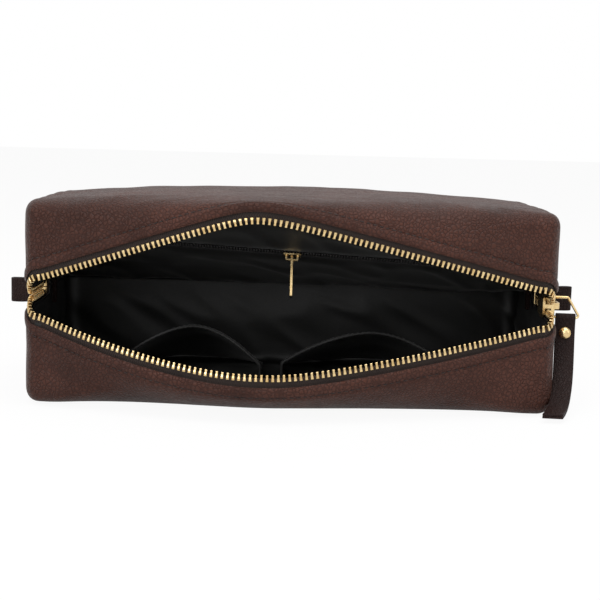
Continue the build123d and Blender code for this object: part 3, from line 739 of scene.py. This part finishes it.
def makeTape(side):
    rail = rowRail(side)
    length = railLength(rail)
    count = 300
    frames = along(side, rail, [0.2 + (length - 0.4) * i / count for i in range(count + 1)])
    bm = gridStrip(count, 6, length * 0.001)
    for vertex in bm.verts:
        point, outward, aside = frames[round((vertex.co.x + 1) / 2 * count)]
        vertex.co = point + aside * ((vertex.co.y + 1) / 2 * zipper["tapeWidth"])
    bm.normal_update()
    inward = sum(1 for face in bm.faces if face.normal.y > 0)
    if inward > len(bm.faces) / 2:
        bmesh.ops.reverse_faces(bm, faces=bm.faces)
    piece = finishPiece(bm, f"{side}_tape", ["zipTape"], sideFold(side), (f"{side}_zip_tape",))
    addSolidify(piece, zipper["tapeThickness"])


tooth = {"leg": -1.7, "head": 1.5, "width": 1.5, "waist": 1.0, "tip": 1.2, "thickness": 2.3, "rounding": 0.16}


def toothShape():
    # One clamped tooth: +X is its head, Y runs along the row and Z is outward.
    bm = block((1, 1, 1))
    long = [edge for edge in bm.edges if abs(edge.verts[0].co.x - edge.verts[1].co.x) > 0.5]
    bmesh.ops.subdivide_edges(bm, edges=long, cuts=2, use_grid_fill=True)
    for vertex in bm.verts:
        x, y, z = vertex.co
        part = x + 0.5
        widths = (tooth["width"], tooth["waist"] * 1.1, tooth["waist"], tooth["tip"])
        depths = (tooth["thickness"], tooth["thickness"], tooth["thickness"] * 0.86, tooth["thickness"] * 0.74)
        level = round(part * 3)
        vertex.co = (mix(tooth["leg"], tooth["head"], part), y * widths[level], z * depths[level])
    rims = [edge for edge in bm.edges if edge.calc_face_angle(0) > radians(60)]
    roundEdges(bm, rims, tooth["rounding"], 1)
    return meshFrom(bm, "toothPattern")


def makeTeeth(side, pattern):
    rail = rowRail(side)
    pitch = zipper["pitch"]
    start = pitch if side == "upper" else 1.5 * pitch
    count = int((railLength(rail) - start - zipper["topStop"] - pitch) / pitch)
    bm = bmesh.new()
    for point, outward, aside in along(side, rail, [start + i * pitch for i in range(count)]):
        place = Matrix.Translation(point) @ turnedTo(-aside, outward)
        before = len(bm.verts)
        bm.from_mesh(pattern)
        bm.verts.ensure_lookup_table()
        bmesh.ops.transform(bm, matrix=place, verts=bm.verts[before:])
    bmesh.ops.recalc_face_normals(bm, faces=bm.faces)
    finishPiece(bm, f"{side}_teeth", ["brass"], sideFold(side), (f"{side}_zip_teeth",), False)


toothPattern = toothShape()
for side in upDown:
    makeTape(side)
    makeTeeth(side, toothPattern)
print("zip made")


# Lining

lining = {"inner": (-118, 118, -31.7, 36), "wall": 8.5, "cuts": (110, 30, 16), "segments": 8, "sewn": 2.6,
          "behind": 0.6, "floor": 48.2, "thickness": 0.6, "overlap": -0.3, "edgeRadius": 7}
ceiling = {"y": -36, "z": 76, "slope": radians(18.5), "tilt": radians(3), "backY": 8, "sewnY": 44.5, "sewnZ": 50}
pocket = {"length": 150, "window": 9, "tapeWidth": 9, "rowGap": 0.9, "pitch": 1.4}


def ceilingHeight(x, y):
    # The upper lining's height: a slope from the front, then flatter to where it is sewn at the back.
    back = min(y, ceiling["backY"]) - ceiling["y"]
    slanted = ceiling["z"] - x * tan(ceiling["tilt"]) - back * tan(ceiling["slope"])
    if y <= ceiling["backY"]:
        return slanted
    part = (y - ceiling["backY"]) / (ceiling["sewnY"] - ceiling["backY"])
    return mix(slanted, ceiling["sewnZ"], part)


def ceilingMatrix():
    back = Vector((0, cos(ceiling["slope"]), -sin(ceiling["slope"])))
    run = Vector((cos(ceiling["tilt"]), 0, -sin(ceiling["tilt"])))
    return Matrix.Translation((0, ceiling["y"], ceiling["z"])) @ turnedTo(run, run.cross(back).normalized())


def liningTop(side, x, y):
    return ceilingHeight(x, y) - bag["zipHeight"] if side == "upper" else lining["floor"]


def liningSection(side, x, y, out):
    front = lining["inner"][2]
    endU, onRight = lining["wall"], x > 0
    top = liningTop(side, x, y)
    if out.y < -0.001 and y <= front + 0.01:
        if abs(out.x) < 0.001:
            row, gap = frontRow(side, x)
            endU = front - row - lining["behind"]
            edge = gap + lining["sewn"]
            first = front - (ceiling["y"] - pocket["window"] / 2 * cos(ceiling["slope"]))
            level = liningTop(side, x, front - first)
            reach = endU - first
            if side == "upper":
                lead = (first + 0.4 * reach, level + 0.4 * reach * tan(ceiling["slope"]))
                drop = (endU - 0.5, mix(edge, level, 0.35) if level > edge else edge + 1)
            else:
                lead = (first + 0.45 * reach, level - 2.5)
                drop = (endU - 0.5, mix(edge, level, 0.4))
            curve = bezier((endU, edge), drop, lead, (first, level))
            return resampled(curve, 50) + resampled([(first, level), (0, top)], 8)[1:]
        row, gap = frontRow(side, x)
        reach = front - row - lining["behind"]
        endU = ((abs(out.x) / lining["wall"]) ** 4 + (abs(out.y) / reach) ** 4) ** -0.25
        edge = endRow(side, onRight, front + out.y * endU) + lining["sewn"]
    elif abs(out.x) > 0.001 and y < bag["zipEnd"] + 5 and out.y < 0.001:
        edge = closedEnd(side, onRight, y, lining["sewn"], lining["overlap"])
    else:
        edge = lining["overlap"]
    return resampled(wallAndArc(endU, edge, top, lining["edgeRadius"]), 58)


folds = {"broad": 1.1, "ridge": 1.9, "share": 0.45}


def satinFold(side, co):
    # Soft folds of loose satin, as a height above its plain shape.
    broad = noise.noise(Vector((co.x * 0.022, co.y * 0.035, co.z * 0.03)) + Vector((1.7, 4.1, 9.2)))
    crossing = Vector((co.x * 0.035 + co.z * 0.05, co.y * 0.02, co.z * 0.012 - co.x * 0.01))
    ridges = 1 - 2 * abs(noise.noise(crossing + Vector((5.5, 2.2, 0.4)) * upDown[side]))
    share = folds["share"]
    return folds["broad"] * max(broad + share, 0) + folds["ridge"] * max(ridges - share, 0)


def makeLining(side):
    wall = lining["wall"]
    x1, y0, y1 = lining["inner"][1:]
    height, radius = 40, wall
    bm = openBox(x1 + wall, y0 - wall, y1 + wall, height, radius, lining["cuts"], lining["segments"])
    straight = height - radius
    boxReach = straight + radius * pi / 2
    toCeiling = ceilingMatrix().inverted()
    cache, moves = {}, []
    for vertex in bm.verts:
        x, y, out, outward = station(vertex.co, lining["inner"])
        if outward < 1e-4:
            vertex.co.z = bag["zipHeight"] + upDown[side] * liningTop(side, x, y)
            reach = boxReach
        else:
            out = out / outward
            if vertex.co.z <= straight:
                reach = vertex.co.z
            else:
                reach = straight + radius * min(pi / 2 - atan2(outward, vertex.co.z - straight), pi / 2)
            section, lengths = sectionAt(cache, liningSection, side, x, y, out)
            u, h = linePoint(section, lengths, lengths[-1] * reach / boxReach)
            vertex.co = Vector((x + out.x * u, y + out.y * u, bag["zipHeight"] + upDown[side] * h))
        local = toCeiling @ vertex.co
        calm = smooth(reach / 14)
        if side == "upper":
            aside = max(abs(local.x) - pocket["length"] / 2, abs(local.y) - pocket["window"] / 2, 0)
            calm *= smooth(aside / 10)
        moves.append(satinFold(side, vertex.co) * calm)
    if side == "upper":
        bmesh.ops.reverse_faces(bm, faces=bm.faces)
    bm.normal_update()
    for vertex, move in zip(bm.verts, moves):
        vertex.co += vertex.normal * move
    if side == "upper":
        cutWindow(bm)
    piece = finishPiece(bm, f"{side}_satin", ["satin"], sideFold(side), (f"{side}_lining",))
    addSolidify(piece, lining["thickness"])


def cutWindow(bm):
    # The slot for the pocket's zip, cut square to the ceiling.
    place = ceilingMatrix()
    toCeiling = place.inverted()
    halves = (pocket["length"] / 2, pocket["window"] / 2)
    for axis, half in enumerate(halves):
        normal = place.to_3x3().col[axis]
        for sign in (-1, 1):
            centre = place @ Vector([sign * half if k == axis else 0 for k in range(3)])
            geometry = list(bm.verts) + list(bm.edges) + list(bm.faces)
            bmesh.ops.bisect_plane(bm, geom=geometry, plane_co=centre, plane_no=normal, dist=1e-4)
    inside = []
    for face in bm.faces:
        local = toCeiling @ face.calc_center_median()
        if abs(local.x) < halves[0] and abs(local.y) < halves[1] and abs(local.z) < 4:
            inside.append(face)
    bmesh.ops.delete(bm, geom=inside, context="FACES")


for side in upDown:
    makeLining(side)
print("lining made")


# Slip pockets

slipPockets = {
    "left": {"centre": -54, "half": 39, "rise": 32, "peak": 0.12, "left": 0.22, "right": 0.4},
    "right": {"centre": 38, "half": 42, "rise": 31, "peak": 0.06, "left": 0.46, "right": 0.5},
}
slipShape = {"front": -26, "back": 38, "backRise": 6, "floor": 4.1, "across": 76, "deep": 30, "hem": 5,
             "thickness": 0.6}


def slipArch(settings, u):  # height of a slip pocket's free edge, as a share of its peak
    beside = settings["right"] if u > settings["peak"] else settings["left"]
    span = 1 - settings["peak"] if u > settings["peak"] else 1 + settings["peak"]
    return mix(1, beside, min(abs(u - settings["peak"]) / span, 1) ** 1.8)


def slipPlace(settings, u, v):
    # A point of a slip pocket: U from side to side, its last part down the sewn sides, and V from front to back.
    side = min(max((abs(u) - 0.92) / 0.08, 0), 1)
    across = min(abs(u) / 0.92, 1) * (1 if u > 0 else -1)
    rise = mix(settings["rise"], slipShape["backRise"], 0.75 * smooth(v) + 0.25 * v)
    x = settings["centre"] + settings["half"] * across
    y = mix(slipShape["front"], slipShape["back"], v) + 2.5 * (1 - across * across) * (1 - v) * sin(3 * across)
    slump = 1.6 * noise.noise(Vector((x * 0.045, y * 0.06, 2.4))) * (1 - across * across) * smooth(v * 6)
    return Vector((x, y, slipShape["floor"] + (rise * slipArch(settings, across) + slump) * (1 - side)))


def makeSlipPocket(name):
    settings = slipPockets[name]
    bm = bmesh.new()
    bmesh.ops.create_grid(bm, x_segments=slipShape["across"], y_segments=slipShape["deep"], size=1)
    for vertex in bm.verts:
        vertex.co = slipPlace(settings, vertex.co.x, (vertex.co.y + 1) / 2)
    bm.normal_update()
    piece = finishPiece(bm, f"{name}_slip_pocket_satin", ["satin"], "bag", (f"{name}_slip_pocket",))
    addSolidify(piece, slipShape["thickness"])
    makeSlipHem(name, settings)


def makeSlipHem(name, settings):
    # The turned and gathered hem along a slip pocket's free edge.
    count = 90
    path = [slipPlace(settings, -0.99 + 1.98 * i / count, 0) for i in range(count + 1)]
    back = [slipPlace(settings, -0.99 + 1.98 * i / count, 0.06) for i in range(count + 1)]
    frames = []
    for i, point in enumerate(path):
        run = (path[min(i + 1, count)] - path[max(i - 1, 0)]).normalized()
        across = (back[i] - point).normalized()
        frames.append((point + across * (slipShape["hem"] / 2 - 0.4), across, run.cross(across).normalized()))
    bm = sweptStrip(frames, slipShape["hem"], 1.3, 0.3, 140)
    for vertex in bm.verts:
        vertex.co.z += 0.15 * sin(vertex.co.x * 2.4)
    finishPiece(bm, f"{name}_slip_pocket_hem", ["satin"], "bag")


def sweptStrip(frames, width, thickness, rounding, cuts):
    # A strip with rounded edges that follows frames of (centre, across, outward).
    bm = block((width, 100, thickness))
    roundEdges(bm, bm.edges[:], rounding, 3)
    long = [edge for edge in bm.edges if abs(edge.verts[0].co.y - edge.verts[1].co.y) > 50]
    bmesh.ops.subdivide_edges(bm, edges=long, cuts=cuts, use_grid_fill=True)
    steps = lengthsOf([frame[0] for frame in frames])
    for vertex in bm.verts:
        aside, part, out = vertex.co.x, vertex.co.y / 100 + 0.5, vertex.co.z
        place, share = placeAt(steps, part * steps[-1])
        centre, across, outward = (a.lerp(b, share) for a, b in zip(frames[place], frames[place + 1]))
        vertex.co = centre + across.normalized() * aside + outward.normalized() * out
    bmesh.ops.recalc_face_normals(bm, faces=bm.faces)
    return bm


for name in slipPockets:
    makeSlipPocket(name)
print("slip pockets made")


# Pocket zip on the ceiling

def finishOnCeiling(bm, name, finishes, replaced):
    bmesh.ops.transform(bm, matrix=ceilingMatrix(), verts=bm.verts)
    return finishPiece(bm, name, finishes, "bag", replaced)


def makePocketZip():
    level = lining["thickness"] / 2 + 0.1 + 0.25
    inner = pocket["rowGap"] + 0.2
    length = pocket["length"] + 12
    both = bmesh.new()
    both.loops.layers.uv.new("UVMap")
    for sign in (-1, 1):
        strip = gridStrip(60, 4, length * 0.001)
        bmesh.ops.scale(strip, vec=(length / 2, pocket["tapeWidth"] / 2, 1), verts=strip.verts)
        bmesh.ops.translate(strip, vec=(0, sign * (inner + pocket["tapeWidth"] / 2), level), verts=strip.verts)
        bmesh.ops.reverse_faces(strip, faces=strip.faces)
        both.from_mesh(meshFrom(strip, "stripPattern"))
    tapes = finishOnCeiling(both, "pocket_tapes", ["pocketTape"], ("pocket_zip_tapes",))
    addSolidify(tapes, 0.5)
    for name, sign in (("front", -1), ("back", 1)):
        bm = bmesh.new()
        count = int((pocket["length"] - 6) / pocket["pitch"])
        for i in range(count):
            x = (i - (count - 1) / 2) * pocket["pitch"]
            sized = Matrix.Diagonal((0.5, 0.95, 0.62, 1))
            place = Matrix.Translation((x, sign * (pocket["rowGap"] + 0.35), -0.2))
            bmesh.ops.create_uvsphere(bm, u_segments=8, v_segments=5, radius=1, matrix=place @ sized)
        finishOnCeiling(bm, f"pocket_coil_loops_{name}", ["coil"], (f"pocket_coil_{name}",))


pouch = {"size": (176, 43, 6), "corner": 7, "middle": (0, 11, 4.6), "rim": 0.35}


def makePouch():
    bm = block(pouch["size"])
    upright = [edge for edge in bm.edges if abs(edge.verts[0].co.z - edge.verts[1].co.z) > 5]
    roundEdges(bm, upright, pouch["corner"], 4)
    long = [edge for edge in bm.edges if edge.calc_length() > 20]
    bmesh.ops.subdivide_edges(bm, edges=long, cuts=20, use_grid_fill=True)
    for vertex in bm.verts:
        rim = smooth((1 - max(abs(vertex.co.x) / 90, abs(vertex.co.y) / 24)) * 5)
        vertex.co.z = vertex.co.z * mix(pouch["rim"], 1, rim) + 0.5 * noise.noise(vertex.co * 0.06)
    bmesh.ops.translate(bm, vec=pouch["middle"], verts=bm.verts)
    bmesh.ops.recalc_face_normals(bm, faces=bm.faces)
    finishOnCeiling(bm, "pocket_pouch", ["satin"], ("pocket_bag",))


makePocketZip()
makePouch()


def makeBinding(name, start, end, across, outward):
    # A bound seam allowance inside the bag, a little wavy where the tape is eased round.
    frames = []
    for i in range(41):
        point = start.lerp(end, i / 40)
        frames.append((point + across * 0.15 * sin(i * 0.9), across, outward))
    bm = sweptStrip(frames, 10, 0.8, 0.3, 60)
    finishPiece(bm, f"{name}_binding_tape", ["binding"], "bag", (f"{name}_seam_binding",))


up = Vector((0, 0, 1))
makeBinding("back", Vector((-117, 45.9, 52)), Vector((117, 45.9, 52)), up, Vector((0, 1, 0)))
for name, sign in (("left", -1), ("right", 1)):
    x = sign * 127.9
    makeBinding(name, Vector((x, 8.3, 52)), Vector((x, 39.8, 52)), up, Vector((sign, 0, 0)))
print("pocket and bindings made")


# Strap and end tabs

strap = {"width": 9.8, "leather": 1.25, "radius": 42.5, "turn": radians(86), "drift": 8, "ringTurn": radians(-6),
         "hook": (138.13, -27.6443, 46), "wrap": 1.475, "layer": 0.63, "pinch": 9}


def strapPlace(distance):
    # Centre, across and outward of the strap at a distance down from the ring's foot.
    across = Vector((cos(strap["ringTurn"]), sin(strap["ringTurn"]), 0))
    forward = Vector((across.y, -across.x, 0))
    part = distance / (strap["radius"] * strap["turn"])
    angle = strap["turn"] * part
    centre = Vector(strap["hook"]) + forward * strap["radius"] * (1 - cos(angle)) - up * strap["radius"] * sin(angle)
    centre -= across * strap["drift"] * part ** 3
    return centre, across, forward * cos(angle) + up * sin(angle)


def makeStrap():
    length = strap["radius"] * strap["turn"] - 0.3
    layers = {-1: [], 1: []}
    for sign, layer in layers.items():
        for i in range(41):
            distance = mix(length, 1.5, i / 40)
            centre, across, outward = strapPlace(distance)
            spread = mix(strap["layer"], strap["wrap"], max(1 - distance / strap["pinch"], 0) ** 2)
            layer.append((centre + outward * sign * spread, across, outward * sign))
    centre, across, outward = strapPlace(0)
    fold = []
    for i in range(13):
        out = outward * -cos(pi * i / 12) + up * sin(pi * i / 12)
        fold.append((centre + out * strap["wrap"], across, out))
    bm = sweptStrip(layers[-1] + fold + layers[1][::-1], strap["width"], strap["leather"], 0.3, 150)
    finishPiece(bm, "strap_leather", ["strap"], "pull_strap", ("pull_strap",))


tab = {"width": 12.5, "reach": 18, "root": 6, "gap": 1.2, "y": 3, "heights": {"left": 48.5, "right": 51.3}}


def makeTab(name, sign):
    half = tab["gap"] / 2 + bag["leather"] / 2
    tip = bag["halfLength"] + tab["reach"] - tab["gap"] / 2 - bag["leather"]
    root = bag["halfLength"] - tab["root"]
    y = tab["y"] + 0.3 + bag["leather"] + tab["gap"] / 2
    z = tab["heights"][name]
    layers, fold = {-1: [], 1: []}, []
    for turn, layer in layers.items():
        for i in range(13):
            layer.append((Vector((sign * mix(root, tip, i / 12), y + turn * half, z)), up, Vector((0, turn, 0))))
    for i in range(1, 16):
        out = Vector((sign * sin(pi * i / 16), -cos(pi * i / 16), 0))
        fold.append((Vector((sign * tip, y, z)) + out * half, up, out))
    bm = sweptStrip(layers[-1] + fold + layers[1][::-1], tab["width"], bag["leather"], 0.3, 90)
    for vertex in bm.verts:
        vertex.co.z += 0.25 * noise.noise(vertex.co * 0.12)
    finishPiece(bm, f"{name}_tab_leather", ["strap"], "bag", (f"{name}_end_tab",))


makeStrap()
for name, sign in (("left", -1), ("right", 1)):
    makeTab(name, sign)
print("strap and tabs made")


brassNodes = ["main_slider", "pull_ring", "strap_rivet", "upper_top_stop", "lower_top_stop", "bottom_stop",
              "pocket_slider", "pocket_pull", "pocket_zip_stops"]
for name in brassNodes:
    node = frame["nodes"][name]
    if not node.material_slots:
        node.data.materials.append(materials["brass"])
    for slot in node.material_slots:
        slot.material = materials["brass"]


# Floor, light and camera

studio = {"floorSize": 6, "floorColour": (0.9, 0.9, 0.9, 1), "floorGlow": 0.93, "floorShine": 0.4, "sky": 0.45,
          "skyShine": 0.75}
lamps = {
    "overhead": {"place": (0.1, -0.35, 1.3), "size": (1.6, 1.0), "watts": 14},
    "front": {"place": (-0.7, -1.5, 0.8), "size": (0.9, 0.9), "watts": 11},
    "side": {"place": (1.3, -0.8, 0.7), "size": (0.7, 0.9), "watts": 2},
}


def makeFloor():
    bm = bmesh.new()
    bmesh.ops.create_grid(bm, x_segments=1, y_segments=1, size=studio["floorSize"])
    floor = addObject("floor", meshFrom(bm, "floor"))
    material, tree, shader = newMaterial("paleFloor")[:3]
    setSockets(shader, Base_Color=studio["floorColour"], Roughness=0.9, Specular_IOR_Level=0.1)
    glow = setSockets(tree.nodes.new("ShaderNodeEmission"), Color=(1, 1, 1, 1), Strength=1)
    rays = tree.nodes.new("ShaderNodeLightPath")
    blend = tree.nodes.new("ShaderNodeMixShader")
    seen = mathNode(tree, "MULTIPLY", rays.outputs["Is Camera Ray"], studio["floorGlow"])
    seen = mathNode(tree, "MULTIPLY_ADD", rays.outputs["Is Glossy Ray"], studio["floorShine"], seen)
    tree.links.new(seen, blend.inputs[0])
    tree.links.new(shader.outputs[0], blend.inputs[1])
    tree.links.new(glow.outputs[0], blend.inputs[2])
    tree.links.new(blend.outputs[0], tree.nodes["Material Output"].inputs["Surface"])
    floor.data.materials.append(material)


def makeWorld():
    world = bpy.data.worlds.new("studio")
    bpy.context.scene.world = world
    world.use_nodes = True
    tree = world.node_tree
    sky = tree.nodes["Background"]
    setSockets(sky, Color=(1, 1, 1, 1), Strength=studio["sky"])
    seen = setSockets(tree.nodes.new("ShaderNodeBackground"), Color=(1, 1, 1, 1), Strength=1)
    rays = tree.nodes.new("ShaderNodeLightPath")
    blend = tree.nodes.new("ShaderNodeMixShader")
    shine = mathNode(tree, "MULTIPLY", rays.outputs["Is Glossy Ray"], studio["skyShine"])
    tree.links.new(mathNode(tree, "MAXIMUM", rays.outputs["Is Camera Ray"], shine), blend.inputs[0])
    tree.links.new(sky.outputs[0], blend.inputs[1])
    tree.links.new(seen.outputs[0], blend.inputs[2])
    tree.links.new(blend.outputs[0], tree.nodes["World Output"].inputs["Surface"])


def makeLamp(name, settings):
    data = bpy.data.lights.new(name, "AREA")
    data.shape = "RECTANGLE"
    data.size, data.size_y = settings["size"]
    data.energy = settings["watts"]
    lamp = addObject(name, data)
    lamp.location = settings["place"]
    lamp.rotation_euler = (Vector((0, -0.04, 0.05)) - lamp.location).to_track_quat("-Z", "Y").to_euler()


view = {"target": (0, -0.048, 0.053), "distance": 0.6, "elevation": radians(8), "lens": 74.1,
        "shift": (0.015, 0.0033), "roll": radians(1.5)}


def makeCamera():
    data = bpy.data.cameras.new("camera")
    data.lens = view["lens"]
    data.sensor_width = 36
    data.shift_x, data.shift_y = view["shift"]
    data.clip_start = 0.01
    camera = addObject("camera", data)
    target = Vector(view["target"])
    camera.location = target + view["distance"] * Vector((0, -cos(view["elevation"]), sin(view["elevation"])))
    facing = (target - camera.location).to_track_quat("-Z", "Y").to_matrix()
    camera.rotation_euler = (facing @ Matrix.Rotation(view["roll"], 3, "Z")).to_euler()
    bpy.context.scene.camera = camera


makeFloor()
makeWorld()
for name, settings in lamps.items():
    makeLamp(name, settings)
makeCamera()
bpy.context.scene.view_settings.view_transform = "Standard"
print("studio made")
